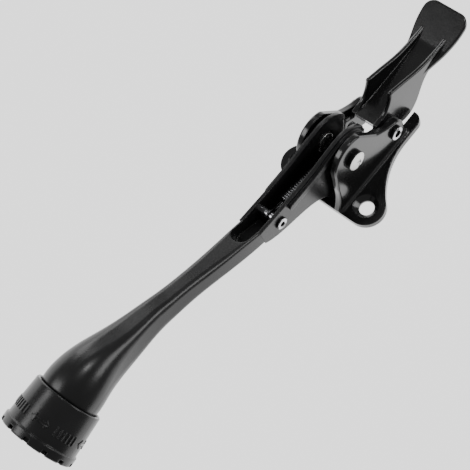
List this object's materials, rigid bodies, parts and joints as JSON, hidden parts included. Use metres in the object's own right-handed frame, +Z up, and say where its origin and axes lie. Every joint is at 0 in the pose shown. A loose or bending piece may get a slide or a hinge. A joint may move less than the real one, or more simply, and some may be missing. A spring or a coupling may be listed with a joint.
{
  "type": "kick-down door holder",
  "caption": "Door stop that screws to the foot of a door: a sprung leg with a rubber foot swings down to hold the door, and a foot pedal kicks it back up.",
  "frame": {"origin": "on the door face, midway between the two screw holes", "axes": "+Z up the door, +Y into the door, +X along the pivots to the right of someone who faces the door"},
  "size_m": [0.044, 0.063, 0.2023],
  "materials": {
    "cast_black": "gloss black coating on a die casting",
    "cast_black_satin": "semi-gloss black coating on a die casting",
    "bare_zinc": "bare bright end, scratched",
    "steel_pin": "bare turned steel",
    "spring_steel": "drawn wire, dull",
    "bronze": "sintered bronze, oiled",
    "nylon": "smooth black nylon",
    "foot_rubber": "moulded rubber, slight sheen"
  },
  "bodies": {
    "bracket": {"mounting_bracket": "cast_black", "leg_pivot_stud_left": "bare_zinc", "leg_pivot_stud_right": "bare_zinc", "leg_washer_left": "nylon", "leg_washer_right": "nylon", "spring_hook_pin": "steel_pin", "pedal_rivet": "steel_pin", "pedal_sleeve": "steel_pin", "pedal_washer_left": "nylon", "pedal_washer_right": "nylon"},
    "leg": {"leg": "cast_black_satin", "leg_bush_left": "bronze", "leg_bush_right": "bronze", "spring_anchor_rivet": "steel_pin", "leg_thread_insert": "steel_pin"},
    "pedal": {"pedal": "cast_black"},
    "spring": {"lift_spring": "spring_steel"},
    "spring_end": {"spring_lower_hook": "spring_steel"},
    "foot_carrier": {"friction_collar": "nylon"},
    "foot": {"rubber_foot": "foot_rubber", "foot_stud": "steel_pin", "foot_stud_washer": "steel_pin"}
  },
  "joints": [
    {"name": "leg_lift", "type": "hinge", "parent": "bracket", "child": "leg", "pos_m": [0, -0.0207, 0.0067], "axis": [-1, 0, 0], "range_deg": [0, 75]},
    {"name": "pedal_press", "type": "hinge", "parent": "bracket", "child": "pedal", "pos_m": [0, -0.009, 0.0257], "axis": [1, 0, 0], "range_deg": [0, 45]},
    {"name": "spring_swing", "type": "hinge", "parent": "bracket", "child": "spring", "pos_m": [0, -0.0156, 0.017], "axis": [-1, 0, 0], "range_deg": [0, 56.1]},
    {"name": "spring_end_swing", "type": "hinge", "parent": "leg", "child": "spring_end", "pos_m": [0, -0.0243, -0.0257], "axis": [1, 0, 0], "range_deg": [0, 18.9]},
    {"name": "foot_height", "type": "slide", "parent": "leg", "child": "foot_carrier", "axis": [0, 0.1392, -0.9903], "range_m": [0, 0.006]},
    {"name": "foot_turn", "type": "hinge", "parent": "foot_carrier", "child": "foot", "pos_m": [0, -0.0515, -0.1129], "axis": [0, -0.1392, 0.9903], "range_deg": [0, 1440]}
  ],
  "couplings": [
    {"joint": "pedal_press", "follows": "leg_lift", "ratio": 0.6},
    {"joint": "spring_swing", "follows": "leg_lift", "ratio": 0.748},
    {"joint": "spring_end_swing", "follows": "leg_lift", "ratio": 0.252},
    {"joint": "foot_turn", "follows": "foot_height", "rad_per_m": 4188.8}
  ]
}
